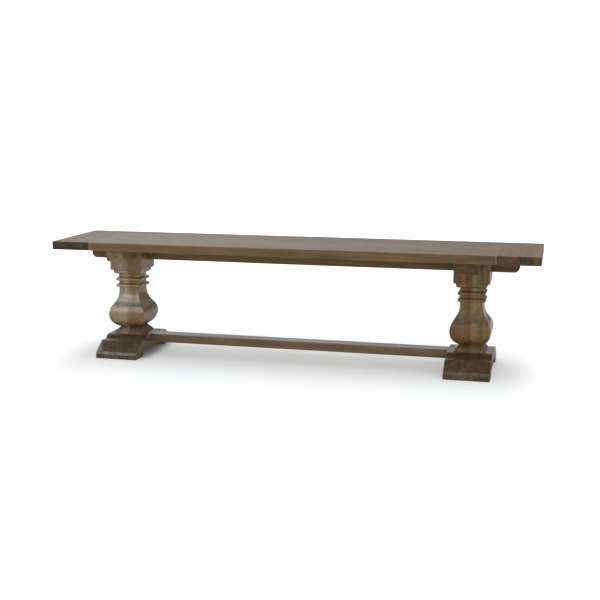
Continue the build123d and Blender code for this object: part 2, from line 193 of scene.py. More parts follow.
class Value:
    """A node's output. Arithmetic on it adds Math nodes to the same tree."""

    def __init__(self, tree, socket):
        self.tree = tree
        self.socket = socket

    def other(self, name):
        """Another output of the same node."""
        return Value(self.tree, self.socket.node.outputs[name])

    def math(self, operation, *others):
        """A Math node on this value and others."""
        return self.tree.node("ShaderNodeMath", {"operation": operation}, dict(enumerate((self, *others))))

    def from_left(self, operation, other):
        """A Math node with this value on the right."""
        return self.tree.node("ShaderNodeMath", {"operation": operation}, {0: other, 1: self})

    def __add__(self, other):
        return self.math("ADD", other)

    def __radd__(self, other):
        return self.from_left("ADD", other)

    def __sub__(self, other):
        return self.math("SUBTRACT", other)

    def __rsub__(self, other):
        return self.from_left("SUBTRACT", other)

    def __mul__(self, other):
        return self.math("MULTIPLY", other)

    def __rmul__(self, other):
        return self.from_left("MULTIPLY", other)

    def __truediv__(self, other):
        return self.math("DIVIDE", other)

    def __rtruediv__(self, other):
        return self.from_left("DIVIDE", other)

    def __pow__(self, other):
        return self.math("POWER", other)

    def __neg__(self):
        return self * -1

    def __abs__(self):
        return self.math("ABSOLUTE")

    def smooth(self, low, high):
        """0 below low and 1 above high, with an eased rise between them."""
        settings = {"interpolation_type": "SMOOTHSTEP"}
        sockets = {"Value": self, "From Min": low, "From Max": high}
        return self.tree.node("ShaderNodeMapRange", settings, sockets)


class Tree:
    """A node tree under construction."""

    def __init__(self, tree):
        self.tree = tree

    def node(self, kind, settings=None, sockets=None, output=0):
        """Adds a node: its settings first, then the values or links of its sockets."""
        made = self.tree.nodes.new(kind)
        for name, value in (settings or {}).items():
            if name == "stops":
                set_stops(made.color_ramp, value)
            else:
                setattr(made, name, value)
        for key, value in (sockets or {}).items():
            several = value if isinstance(value, list) else [value]
            for one in several:
                if isinstance(one, Value):
                    self.tree.links.new(one.socket, made.inputs[key])
                else:
                    made.inputs[key].default_value = one
        outputs = made.outputs
        return Value(self, outputs[output]) if len(outputs) else None

    def parts(self, vector, colour=False):
        """The three numbers of a vector or a colour."""
        split = self.node("ShaderNodeSeparateColor" if colour else "ShaderNodeSeparateXYZ", None, {0: vector})
        return [Value(self, socket) for socket in split.socket.node.outputs[:3]]

    def point(self, x=0.0, y=0.0, z=0.0):
        """A vector of three numbers."""
        return self.node("ShaderNodeCombineXYZ", None, {0: x, 1: y, 2: z})

    def vector(self, operation, first, second):
        return self.node("ShaderNodeVectorMath", {"operation": operation}, {0: first, 1: second})

    def mix(self, share, first, second, blend="MIX"):
        settings = {"data_type": "RGBA", "blend_type": blend}
        return self.node("ShaderNodeMix", settings, {0: share, 6: first, 7: second}, output=2)


def set_stops(ramp, stops):
    """Replaces a ramp's stops by (place, colour) pairs in rising order."""
    while len(ramp.elements) > 1:
        ramp.elements.remove(ramp.elements[-1])
    ramp.elements[0].position, ramp.elements[0].color = stops[0]
    for place, colour in stops[1:]:
        ramp.elements.new(place).color = colour


def empty_tree(owner):
    """The cleared node tree of a new material or world."""
    owner.use_nodes = True
    owner.node_tree.nodes.clear()
    return Tree(owner.node_tree)


def surface(name):
    """The tree of a new material, which keeps the material and its Principled shader."""
    material = bpy.data.materials.new(name)
    tree = empty_tree(material)
    tree.material = material
    tree.shader = tree.node("ShaderNodeBsdfPrincipled").socket.node
    tree.node("ShaderNodeOutputMaterial", None, {"Surface": Value(tree, tree.shader.outputs[0])})
    return tree


def feed(tree, **sockets):
    """Sets or links sockets of a material's shader, named with underscores."""
    for name, value in sockets.items():
        socket = tree.shader.inputs[name.replace("_", " ")]
        if isinstance(value, Value):
            tree.tree.links.new(value.socket, socket)
        else:
            socket.default_value = value


# Masks for wear and stain, and for painted shade and highlights. Each one takes a piece's coordinates and its
# normal, by axis

def board_arrises(axes, turned):
    """Rounded edges of a squared board: where the surface faces between two axes."""
    squares = [side * side for side in turned.values()]
    flattest = squares[0].math("MAXIMUM", squares[1]).math("MAXIMUM", squares[2])
    return (1 - flattest).smooth(*board_bend)


def front_and_back(turned):
    """Faces that stand upright at a board's front and back."""
    return (turned["Y"] * turned["Y"]).smooth(*upright_faces)


def joint_wear_and_highlights(axes, turned):
    """Thin pale lines on the panel's front and back beside the end joints, partly rubbed stain and partly a
    painted highlight where light catches the joints.
    """
    nearest = (axes["X"] - left_joint).math("MINIMUM", right_joint - axes["X"])
    return (1 - nearest.smooth(*joint_wear_and_highlight)) * front_and_back(turned)


def sap_rubs(axes, turned):
    """A narrow strip of pale sapwood in the left end board's end grain."""
    off_strip = abs(axes["X"] - (left_joint - sap_offset))
    return (1 - off_strip.smooth(*sap_edge)) * front_and_back(turned)


def side_arrises(axes, turned):
    """Rounded edges along the two sides of a foot or cleat."""
    sideways = turned["X"] * turned["X"]
    return (4 * sideways * (1 - sideways)).smooth(*side_bend)


def foot_hollows(axes, turned):
    """The steep lower half of a foot's round shoulder, darkened as painted shade."""
    depth = abs(axes["Y"])
    return depth.smooth(*shoulder_start) * (1 - depth.smooth(*shoulder_end))


def rail_hollows(axes, turned):
    """The right half of the rail, made darker."""
    return axes["X"].smooth(*rail_darkening)


def post_arrises(hand):
    """The four mitred corners of a post, where the distances from its axis along X and Y are equal."""
    def mask(axes, turned):
        off_corner = abs(abs(axes["X"] - post_axis[hand]) - abs(axes["Y"]))
        return 1 - off_corner.smooth(*post_arris_wear)
    return mask


def post_hollows(axes, turned):
    """Painted shade in a post's inner corners, under and over its collars and on its neck and head under the
    seat, and painted highlights on the collars' noses.
    """
    reach = 0.0035
    plain = 0.3
    in_corner = 0.6
    under_collar = 1.0
    on_nose = 0.0
    over_collar = 0.4
    mark_depth = 1.5
    neck_depth = 0.25
    head_depth = 0.4
    marks = [(height, in_corner) for height in (waist_height, neck_top, head_bottom)]
    for bottom in collar_bottoms:
        marks += [(bottom, under_collar), (bottom + 2 * reach, on_nose)]
        marks.append((bottom + collar_height, over_collar))
    stops = []
    for height, depth in sorted(marks):
        for level, tone in ((height - reach, plain), (height, depth), (height + reach, plain)):
            stops.append(((level - foot_top) / (head_top - foot_top), (tone, tone, tone, 1)))
    height_share = (axes["Z"] - foot_top) / (head_top - foot_top)
    marked = axes["Z"].tree.node("ShaderNodeValToRGB", {"stops": stops}, {"Fac": height_share})
    # Painted shade on the neck and head, where the seat overhangs them
    on_neck = axes["Z"].smooth(vase_top, collar_bottoms[1])
    on_head = axes["Z"].smooth(neck_top, head_bottom)
    return (marked - plain) * mark_depth + on_neck * neck_depth + on_head * head_depth


def post_dulled(axes, turned):
    """The plinth, where the lacquer has been scuffed off."""
    return (1 - axes["Z"].smooth(waist_height, waist_height + scuff_fade)) * scuff_depth


def post_mouldings(axes, turned):
    """The collars, which are mitred mouldings and show long grain all round."""
    half = collar_height / 2
    to_middles = [abs(axes["Z"] - (bottom + half)) for bottom in collar_bottoms]
    return 1 - to_middles[0].math("MINIMUM", to_middles[1]).smooth(half, half + moulding_fade)


# Wood

def stave_tones(row, span, staves, seam_blend):
    """Russet share, lightness, shift and bleach of the stave at a place along the row.

    A stepped ramp holds each stave's shift, and a blended ramp the rest.
    """
    tree = row.tree
    low, high = span
    stops = [((start - low) / (high - low), tone) for start, tone in staves]
    blended_stops = stops[:1]
    blend_share = seam_blend / (high - low)
    for (_, before), (start, after) in zip(stops, stops[1:]):
        blended_stops += [(start - blend_share, before), (start + blend_share, after)]
    row_share = (row - low) / (high - low)
    stepped = tree.node("ShaderNodeValToRGB", {"stops": stops}, {"Fac": row_share})
    stepped.socket.node.color_ramp.interpolation = "CONSTANT"
    shift = tree.parts(stepped, colour=True)[2]
    blended = tree.node("ShaderNodeValToRGB", {"stops": blended_stops}, {"Fac": row_share})
    russet, light, _ = tree.parts(blended, colour=True)
    return russet, light, shift, blended.other("Alpha")


def seams(row, staves):
    """The glue lines between staves."""
    distances = [abs(row - start) for start, _ in staves[1:]]
    nearest = distances[0]
    for distance in distances[1:]:
        nearest = nearest.math("MINIMUM", distance)
    return 1 - nearest.smooth(0.0, glue_line)


def varied(pattern, depth):
    """A factor round 1 that follows a pattern between 0 and 1."""
    return 1 + (pattern - 0.5) * depth


def wood(name, grain, across, span, staves, pith, ends, lacquer, arrises=board_arrises, hollows=None,
         sapwood_and_highlights=None, mouldings=None, dulled=None, seam_blend=0.0003, patchiness=0.28):
    """Stained and lacquered hardwood, solid right through: rings round a pith, fibres, pores and staves.

    grain and across name the axes of the fibres and of the staves' row, and span is the piece's reach along
    the row. Each stave has its start in metres and its tone. pith is how far the middle of the tree lies off
    the row's middle and off the third axis's zero. ends is the end grain, and lacquer is how full the lacquer
    is. The other masks give worn arrises, darker places (painted shade, and the rail's darker end), pale
    sapwood and pale joint lines (partly painted highlight), mouldings and dull lacquer. seam_blend is how far
    the tones of two staves run into each other on either side of their seam, and patchiness how much the
    lightness varies in broad patches.
    """
    tree = surface(name)
    place = tree.node("ShaderNodeTexCoord", output="Object")
    axes = dict(zip("XYZ", tree.parts(place)))
    turned = dict(zip("XYZ", tree.parts(place.other("Normal"))))
    third = next(axis for axis in "XYZ" if axis not in (grain, across))
    russet, light, shift, bleach = stave_tones(axes[across], span, staves, seam_blend)

    # Every stave reads the figure from another place in the log
    away = tree.node("ShaderNodeVectorMath", {"operation": "SCALE"}, {0: log_stride, "Scale": shift})
    log_place = tree.vector("ADD", place, away)

    def figure(length, width, detail):
        """Noise drawn out along the grain."""
        scale = tuple(1 / length if axis == grain else 1 / width for axis in "XYZ")
        stretched = tree.vector("MULTIPLY", log_place, scale)
        sockets = {"Vector": stretched, "Scale": 1.0, "Detail": detail, "Roughness": 0.6}
        return tree.node("ShaderNodeTexNoise", None, sockets)

    # Growth rings round the pith, wandering along the log
    wander = tree.parts(figure(wander_length, wander_width, 2.0).other("Color"), colour=True)
    off_pith = axes[across] - (sum(span) / 2 + pith[0]) - (shift - 0.5) * stave_scatter
    sideways = off_pith + (wander[0] - 0.5) * ring_wander
    inward = axes[third] - pith[1] + (wander[1] - 0.5) * ring_wander
    radius = (sideways * sideways + inward * inward) ** 0.5
    ring_count = (radius + axes[grain] * ring_slope) / ring_width
    ring = ring_count.math("FRACT")
    late_wood = ring ** late_wood_onset * (1 - ring.smooth(*late_wood_end))
    whole_rings = {"W": ring_count.math("FLOOR")}
    ring_tone = tree.node("ShaderNodeTexWhiteNoise", {"noise_dimensions": "1D"}, whole_rings)

    # Fibres, streaks, clouds, blotches and pores, and where the wood is cut across or worn
    fibres = figure(fibre_length, fibre_width, 3.0)
    streaks = figure(cloud_length, streak_width, 2.0).smooth(*broad_levels)
    clouds = figure(cloud_length, cloud_width, 3.0).smooth(*broad_levels)
    blots = figure(blot_width, blot_width, 2.0).smooth(*blot_levels)
    pores = figure(pore_length, pore_width, 0.0).smooth(*pore_levels)
    end_grain = (turned[grain] * turned[grain]).smooth(ends.begins, ends.full)
    if mouldings:
        end_grain = end_grain * (1 - mouldings(axes, turned))
    worn = arrises(axes, turned) * (worn_least + clouds * (1 - worn_least))

    # Colour: the stain's hue, shaded by the figure, the seams and the masks, some of which paint shade and
    # highlights
    hue = tree.mix(russet + (clouds - 0.5) * hue_drift, olive_tan, russet_brown)
    hue = tree.mix(bleach, hue, pale_tan)
    shade = light * (1 - late_wood * (late_wood_depth + end_grain * late_wood_end_depth))
    shade = shade * varied(ring_tone, ring_variation + end_grain * ring_end_variation)
    shade = shade * varied(fibres, fibre_depth) * varied(streaks, streak_depth) * varied(clouds, patchiness)
    shade = shade * varied(blots, end_grain * ends.blots)
    shade = shade * (1 - pores * pore_depth) * (1 - end_grain * (1 - ends.light)) * (1 + worn * worn_gain)
    if len(staves) > 1:
        shade = shade * (1 - seams(axes[across], staves) * seam_depth)
    # Painted shade on the posts and feet, and a plain darkening of the rail
    if hollows:
        shade = shade * (1 - hollows(axes, turned) * darkening_depth)
    # Pale sapwood, and pale lines beside the joints that are partly wear and partly painted highlight
    if sapwood_and_highlights:
        shade = shade * (1 + sapwood_and_highlights(axes, turned) * sapwood_and_highlight_gain)
    colour = tree.mix(1.0, hue, shade, "MULTIPLY")

    # Relief and shine
    relief = fibres * fibre_relief - pores * pore_relief - late_wood * late_wood_relief
    bump = tree.node("ShaderNodeBump", None,
                     {"Strength": relief_strength, "Distance": relief_depth, "Height": relief})
    roughness = wood_roughness + (fibres - 0.5) * fibre_roughness + pores * pore_roughness
    roughness = roughness + end_grain * end_roughness - worn * worn_polish
    coat = lacquer * (0.5 + streaks)
    if dulled:
        coat = coat * (1 - dulled(axes, turned))
    feed(tree, Base_Color=colour, Roughness=roughness, Normal=bump, Coat_Weight=coat,
         Coat_Roughness=lacquer_roughness, Specular_IOR_Level=wood_specular)
    return tree.material


def panel_wood():
    """The five boards of the seat panel."""
    tones = (Tone(russet=0.35, light=1.06, shift=0.13, bleach=0.05),
             Tone(russet=0.5, light=1.08, shift=0.71, bleach=0.1),
             Tone(russet=0.25, light=1.12, shift=0.37),
             # The back two boards are darker, partly their own tone and partly a painted fall-off of the
             # light reflected across the top
             Tone(russet=0.45, light=0.95, shift=0.89),
             Tone(russet=0.45, light=0.84, shift=0.55))
    staves = list(zip(board_starts, tones))
    span = (seat_low.y, seat_high.y)
    pith = (0.01, seat_low.z - 0.09)
    ends = EndGrain(light=0.4, begins=0.15, full=0.6, blots=0.6)
    # Pale lines beside the end joints, partly wear and partly painted highlight
    return wood("seat_panel_wood", "X", "Y", span, staves, pith, ends, lacquer=0.57, sapwood_and_highlights=joint_wear_and_highlights,
                patchiness=0.6)


def end_wood(hand):
    """A seat end board, glued up from three staves."""
    low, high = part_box(f"seat_end_{hand}")
    if hand == "left":
        staves = [(low.x, Tone(russet=0.6, light=1.0, shift=0.2)),
                  (low.x + 0.066, Tone(russet=0.55, light=0.97, shift=0.66)),
                  (low.x + 0.124, Tone(russet=0.65, light=1.03, shift=0.83))]
        ends = EndGrain(light=0.33, begins=0.15, full=0.6, blots=0.4)
        sapwood_and_highlights = sap_rubs
    else:
        staves = [(low.x, Tone(russet=0.35, light=1.0, shift=0.3)),
                  (low.x + 0.078, Tone(russet=0.45, light=1.1, shift=0.74)),
                  (low.x + 0.124, Tone(russet=0.15, light=1.16, shift=0.52))]
        ends = EndGrain(light=0.55, begins=0.15, full=0.6, blots=0.6)
        sapwood_and_highlights = None
    span = (low.x, high.x)
    pith = (0.02, seat_low.z - 0.05)
    return wood(f"seat_end_wood_{hand}", "Y", "X", span, staves, pith, ends, lacquer=0.4, sapwood_and_highlights=sapwood_and_highlights)


def bearer_wood(name, node, grain, across, tone, lacquer, end_light=0.6, **masks):
    """A bearer in one piece: the rail, the stretcher or a cleat."""
    low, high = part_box(node)
    axis = "XYZ".index(across)
    span = (low[axis], high[axis])
    third = next(n for n in range(3) if "XYZ"[n] not in (grain, across))
    pith = (0.0, (low[third] + high[third]) / 2 - 0.11)
    ends = EndGrain(light=end_light, begins=0.15, full=0.6, blots=0.5)
    return wood(name, grain, across, span, [(span[0], tone)], pith, ends, lacquer, **masks)


def rail_wood():
    """The rail under the seat, darker towards its right end."""
    tone = Tone(russet=0.5, light=0.97, shift=0.3)
    return bearer_wood("rail_wood", "seat_rail", "X", "Z", tone, lacquer=0.3, hollows=rail_hollows)


def stretcher_wood():
    """The low bar between the feet, with the fullest lacquer."""
    tone = Tone(russet=0.4, light=1.15, shift=0.6, bleach=0.25)
    return bearer_wood("stretcher_wood", "stretcher", "X", "Y", tone, lacquer=1.0)


def cleat_wood(hand):
    """The bearer on a post's head."""
    tones = {"left": Tone(russet=0.3, light=1.25, shift=0.45, bleach=0.3),
             "right": Tone(russet=0.65, light=1.15, shift=0.45)}
    end_lights = {"left": 1.0, "right": 0.65}
    return bearer_wood(f"cleat_wood_{hand}", f"cleat_{hand}", "Y", "X", tones[hand], lacquer=0.5,
                       end_light=end_lights[hand], arrises=side_arrises)


def foot_wood(hand):
    """A foot, glued up from three staves."""
    low, high = foot_boxes[hand]
    if hand == "left":
        # The left foot's staves are bleached towards grey, partly their own pale tone and partly painted
        # sheen
        staves = [(low.x, Tone(russet=0.5, light=0.86, shift=0.15, bleach=0.75)),
                  (low.x + 0.062, Tone(russet=0.6, light=0.9, shift=0.62, bleach=0.6)),
                  (low.x + 0.118, Tone(russet=0.5, light=0.86, shift=0.37, bleach=0.65))]
    else:
        staves = [(low.x, Tone(russet=0.35, light=0.95, shift=0.48, bleach=0.35)),
                  (low.x + 0.058, Tone(russet=0.5, light=1.0, shift=0.81, bleach=0.3)),
                  (low.x + 0.112, Tone(russet=0.85, light=0.95, shift=0.22, bleach=0.25))]
    pith = (0.0, -0.05)
    ends = EndGrain(light=0.72, begins=0.02, full=0.2, blots=0.35)
    # The foot's shoulder is darkened as painted shade
    return wood(f"foot_wood_{hand}", "Y", "X", (low.x, high.x), staves, pith, ends, lacquer=0.7,
                arrises=side_arrises, hollows=foot_hollows, seam_blend=0.004)


def post_wood(hand):
    """A post, with upright bands of tone."""
    axis = post_axis[hand]
    low, high = axis - vase_half, axis + vase_half
    if hand == "left":
        # The left stave is made paler and lighter as painted light, for the light that falls on this post
        # from the left
        staves = [(low, Tone(russet=0.0, light=2.2, shift=0.2, bleach=0.6)),
                  (axis + 0.002, Tone(russet=0.75, light=1.6, shift=0.7, bleach=0.2)),
                  (axis + 0.0465, Tone(russet=0.6, light=1.6, shift=0.45, bleach=0.2))]
        ends = EndGrain(light=0.45, begins=0.06, full=0.5, blots=0.4)
        dulled = post_dulled
    else:
        staves = [(low, Tone(russet=0.85, light=1.25, shift=0.6)),
                  (axis - 0.047, Tone(russet=0.6, light=1.6, shift=0.3)),
                  (axis - 0.02, Tone(russet=0.9, light=1.28, shift=0.9)),
                  (axis + 0.002, Tone(russet=0.25, light=1.75, shift=0.15, bleach=0.1)),
                  (axis + 0.024, Tone(russet=0.3, light=1.42, shift=0.52))]
        ends = EndGrain(light=0.7, begins=0.06, full=0.5, blots=0.4)
        dulled = None
    pith = (0.0, 0.10)
    # The post's corners, collars, neck and head get painted shade, and the collars' noses painted highlights
    return wood(f"post_wood_{hand}", "Z", "X", (low, high), staves, pith, ends, lacquer=0.8,
                arrises=post_arrises(hand), hollows=post_hollows, mouldings=post_mouldings, dulled=dulled,
                seam_blend=0.007)


# Finishes of the fittings

def zinc_steel():
    """Bright zinc plating with faint crystals and drawn marks."""
    crystals_per_metre = 900.0
    marks_per_metre = 1500.0
    tree = surface("zinc_plate")
    place = tree.node("ShaderNodeTexCoord", output="Object")
    crystals = tree.node("ShaderNodeTexVoronoi", None, {"Vector": place, "Scale": crystals_per_metre})
    marks = tree.node("ShaderNodeTexNoise", None, {"Vector": place, "Scale": marks_per_metre, "Detail": 3.0})
    tint = tree.mix(marks, srgb(168, 170, 172), srgb(204, 205, 203))
    roughness = 0.30 + marks * 0.18 + crystals * 0.1
    bump = tree.node("ShaderNodeBump", None, {"Strength": 0.15, "Distance": 0.0002, "Height": marks})
    feed(tree, Base_Color=tint, Metallic=1.0, Roughness=roughness, Normal=bump)
    return tree.material


def dowel_wood():
    """Pale beech pegs, left bare: straight fine fibres with small flecks."""
    fibres_per_metre = (700.0, 700.0, 60.0)
    fleck_levels = (0.64, 0.72)
    tree = surface("peg_beech")
    place = tree.node("ShaderNodeTexCoord", output="Object")
    drawn = tree.vector("MULTIPLY", place, fibres_per_metre)
    fibres = tree.node("ShaderNodeTexNoise", None, {"Vector": drawn, "Scale": 1.0, "Detail": 3.0})
    spots = tree.node("ShaderNodeTexNoise", None, {"Vector": drawn, "Scale": 3.0, "Detail": 0.0})
    flecks = spots.smooth(*fleck_levels)
    colour = tree.mix(fibres * 0.7 + flecks * 0.5, srgb(198, 168, 128), srgb(158, 122, 84))
    bump = tree.node("ShaderNodeBump", None, {"Strength": 0.2, "Distance": 0.0003, "Height": fibres - flecks})
    feed(tree, Base_Color=colour, Roughness=0.55 + fibres * 0.15, Normal=bump)
    return tree.material


def dress(material, *names):
    """Gives CAD nodes a finish in their material slots."""
    for name in names:
        for slot in nodes[name].material_slots:
            slot.material = material


# New pieces and their geometry trees

def new_object(name, data):
    """A new object in the scene."""
    made = bpy.data.objects.new(name, data)
    bpy.context.scene.collection.objects.link(made)
    return made


def keep(piece, slot, *replaced):
    """Puts a finished piece on the bench in place of its CAD nodes."""
    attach(piece, "root")
    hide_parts(*replaced)


def geometry_tree(name, lengths, counts):
    """A Geometry Nodes tree with named inputs and a material, and the value of each input by its name."""
    kinds = dict.fromkeys(lengths, "NodeSocketFloat")
    kinds.update(dict.fromkeys(counts, "NodeSocketInt"))
    kinds["Material"] = "NodeSocketMaterial"
    group = bpy.data.node_groups.new(name, "GeometryNodeTree")
    group.interface.new_socket("Geometry", in_out="INPUT", socket_type="NodeSocketGeometry")
    for label, kind in kinds.items():
        group.interface.new_socket(label, in_out="INPUT", socket_type=kind)
    group.interface.new_socket("Geometry", in_out="OUTPUT", socket_type="NodeSocketGeometry")
    tree = Tree(group)
    given = tree.node("NodeGroupInput")
    return tree, {label: given.other(label) for label in ("Geometry", *kinds)}


def close_tree(tree, mesh, material):
    """Ends a geometry tree: plain geometry with its material."""
    mesh = tree.node("GeometryNodeRealizeInstances", None, {"Geometry": mesh})
    mesh = tree.node("GeometryNodeSetMaterial", None, {"Geometry": mesh, "Material": material})
    tree.node("NodeGroupOutput", None, {"Geometry": mesh})
    return tree.tree


def shaped(name, mesh, group, values):
    """Runs a geometry tree on a mesh, and keeps the result as a plain mesh."""
    piece = new_object(name, mesh)
    maker = piece.modifiers.new("maker", "NODES")
    maker.node_group = group
    for item in group.interface.items_tree:
        if item.in_out == "INPUT" and item.name in values:
            maker[item.identifier] = values[item.name]
    evened = piece.modifiers.new("evened", "WEIGHTED_NORMAL")
    evened.keep_sharp = True
    made = bpy.data.meshes.new_from_object(piece.evaluated_get(bpy.context.evaluated_depsgraph_get()))
    piece.modifiers.clear()
    piece.data = made
    made.name = name
    return piece


def crisp(tree, mesh):
    """Smooth shading over gentle bends, and crisp edges at sharper ones."""
    bend = tree.node("GeometryNodeInputMeshEdgeAngle")
    gentle = tree.node("FunctionNodeCompare", {"operation": "LESS_THAN"}, {0: bend, 1: crisp_angle})
    for domain, smooth in (("FACE", True), ("EDGE", gentle)):
        sockets = {"Geometry": mesh, "Shade Smooth": smooth}
        mesh = tree.node("GeometryNodeSetShadeSmooth", {"domain": domain}, sockets)
    return mesh


def moved(tree, shape, place):
    """A shape moved from the origin to a place."""
    return tree.node("GeometryNodeTransform", None, {"Geometry": shape, "Translation": place})


def cut_box(tree, low, high):
    """A box between two corners, given as values."""
    spans = [b - a for a, b in zip(low, high)]
    middles = [(b + a) / 2 for a, b in zip(low, high)]
    cube = tree.node("GeometryNodeMeshCube", None, {"Size": tree.point(*spans)})
    return moved(tree, cube, tree.point(*middles))


def common(tree, *meshes):
    """What several meshes have in common."""
    settings = {"operation": "INTERSECT", "solver": "EXACT"}
    return tree.node("GeometryNodeMeshBoolean", settings, {1: list(meshes)})


def cut(tree, mesh, *tools):
    """A mesh with others cut out of it."""
    settings = {"operation": "DIFFERENCE", "solver": "EXACT"}
    return tree.node("GeometryNodeMeshBoolean", settings, {0: mesh, 1: list(tools)})


# Posts: their outline, and the staves cut from it

def arc(centre, radius, start, end):
    """Points on a circle from one angle to another, both ends included."""
    steps = max(2, round(abs(end - start) / arc_step))
    turns = [start + (end - start) * n / steps for n in range(steps + 1)]
    return [(centre[0] + radius * math.cos(turn), centre[1] + radius * math.sin(turn)) for turn in turns]


def flank(widest, far_point):
    """Centre and radius of an arc that is upright at its widest point and passes through another point."""
    run = widest[0] - far_point[0]
    rise = far_point[1] - widest[1]
    radius = (run * run + rise * rise) / (2 * run)
    return (widest[0] - radius, widest[1]), radius


def collar(bottom):
    """Half width and height of a collar: flat below, a round nose, and a straight slope up to the neck."""
    nose = (neck_half + collar_reach - collar_nose_radius, bottom + collar_nose_radius)
    top = (neck_half, bottom + collar_height)
    run, rise = top[0] - nose[0], top[1] - nose[1]
    turn = math.atan2(rise, run) - math.acos(collar_nose_radius / math.hypot(run, rise))
    return [(neck_half, bottom), *arc(nose, collar_nose_radius, -math.pi / 2, turn), top]


def post_outline():
    """Half width and height of the post from its foot to its head, closed on its axis."""
    quarter = math.pi / 2
    points = [(0.0, foot_top), (plinth_half, foot_top), (plinth_half, foot_top + plinth_lip)]
    widest = (vase_half, vase_widest)
    waist = (waist_half, waist_height)
    centre, radius = flank(widest, waist)
    points += arc(centre, radius, math.atan2(waist[1] - centre[1], waist[0] - centre[0]), 0.0)
    swell = vase_half - neck_half
    turn = (vase_half - vase_upper_share * swell, vase_widest + vase_upper_share * (vase_top - vase_widest))
    centre, radius = flank(widest, turn)
    points += arc(centre, radius, 0.0, math.atan2(turn[1] - centre[1], turn[0] - centre[0]))[1:]
    centre, radius = flank((neck_half, vase_top), turn)
    points += arc(centre, radius, math.atan2(centre[1] - turn[1], centre[0] - turn[0]), 0.0)[1:]
    for bottom in collar_bottoms:
        points += collar(bottom)
    points.append((neck_half, neck_top))
    points += arc((band_half - ovolo_radius, ovolo_top), ovolo_radius, -quarter, 0.0)
    points.append((band_half, head_bottom))
    head_edge = (head_half - head_edge_radius, head_bottom + head_edge_radius)
    points += arc(head_edge, head_edge_radius, -quarter, 0.0)
    points += [(head_half, head_top), (0.0, head_top)]
    return points


def post_tree():
    """A square post, turned round its outline with eased arrises, and the stave cut from it."""
    lengths = ("Arris Radius", "From", "To", "Top", "Slot Half", "Slot Bottom", "Reach", "Axis")
    tree, given = geometry_tree("square_post", lengths, ["Arris Steps"])
    outline = given["Geometry"]
    rows = tree.node("GeometryNodeAttributeDomainSize", {"component": "MESH"}, {0: outline})

    # Each of the four corners has the points of its arc and one more on either side
    steps = given["Arris Steps"]
    corner_columns = steps + 3
    columns = corner_columns * 4
    grid = tree.node("GeometryNodeMeshGrid", None, {"Vertices X": columns + 1, "Vertices Y": rows})

    def whole(quotient):
        """A quotient of whole numbers without its fraction, safe from rounding."""
        return (quotient + 0.0001).math("FLOOR")

    # Each grid point takes its half width and height from one outline point, and its bearing from its column
    index = tree.node("GeometryNodeInputIndex")
    column = whole(index / rows)
    row = index - column * rows
    place = tree.node("GeometryNodeInputPosition")
    sample = tree.node("GeometryNodeSampleIndex", {"data_type": "FLOAT_VECTOR"},
                       {"Geometry": outline, "Value": place, "Index": row})
    half, _, height = tree.parts(sample)
    corner = whole(column / corner_columns)
    step = column - corner * corner_columns
    on_arc = step.math("MAXIMUM", 1.0).math("MINIMUM", steps + 1)
    turn = (corner + (on_arc - 1) / steps) * (math.pi / 2)
    bearing = (corner + 0.5) * (math.pi / 2)
    radius = half.math("MINIMUM", given["Arris Radius"])
    inner = half - radius
    lead = (step - on_arc) * radius.math("MINIMUM", inner)
    diagonal = inner * math.sqrt(2)
    x = bearing.math("COSINE") * diagonal + turn.math("COSINE") * radius - turn.math("SINE") * lead
    y = bearing.math("SINE") * diagonal + turn.math("SINE") * radius + turn.math("COSINE") * lead
    spot = tree.point(x, y, height)
    skin = tree.node("GeometryNodeSetPosition", None, {"Geometry": grid, "Position": spot})
    post = tree.node("GeometryNodeMergeByDistance", None, {"Geometry": skin, "Distance": merge_distance})

    # The stave is what lies between two upright cuts, with the rail's slot through its head
    reach = given["Reach"]
    slot_half = given["Slot Half"]
    between_cuts = cut_box(tree, (given["From"], -reach, -reach), (given["To"], reach, given["Top"]))
    rail_slot = cut_box(tree, (-reach, -slot_half, given["Slot Bottom"]), (reach, slot_half, reach))
    stave = cut(tree, common(tree, post, between_cuts), rail_slot)
    stave = crisp(tree, moved(tree, stave, tree.point(given["Axis"])))
    return close_tree(tree, stave, given["Material"])


def posts():
    """The six staves of the two posts."""
    group = post_tree()
    points = post_outline()
    reach = 1.0
    values = {"Arris Radius": post_arris_radius, "Arris Steps": post_arris_steps, "Reach": reach,
              "Slot Half": rail_high.y + rail_slot_play, "Slot Bottom": rail_low.z}
    for hand in hands:
        values.update({"Axis": post_axis[hand], "Material": post_wood(hand)})
        outward = -1 if hand == "left" else 1
        cuts = {"post_core": (-stave_half, stave_half, cleat_bottom)}
        for name, side in (("post_cheek_outer", outward), ("post_cheek_inner", -outward)):
            cuts[name] = (stave_half, reach, reach) if side > 0 else (-reach, -stave_half, reach)
        for name, (start, end, top) in cuts.items():
            line = bpy.data.meshes.new("post_outline")
            line.from_pydata([(half, 0.0, height) for half, height in points], [], [])
            node = f"{name}_{hand}"
            values.update({"From": start, "To": end, "Top": top})
            keep(shaped(f"{node}_shaped", line, group, values), "post_wood", node)


# Screws: threaded, at the places and sizes of the screws in the CAD nodes

# Shares of the shank's radius
thread_root_share = 0.72
thread_centre_share = 0.78
thread_ridge_share = 0.2
thread_pitch_share = 0.9
point_share = 3

# Share of the length under the head
plain_neck_share = 0.3

# Shares of the head's radius or height. The rim and the shank are told apart by the last two
head_face_share = 0.88
slot_length_share = 0.6
slot_width_share = 0.13
slot_depth_share = 0.45
rim_share = 0.9
clear_of_head_share = 1.2

shank_sides = 16
head_sides = 24
ridge_sides = 4


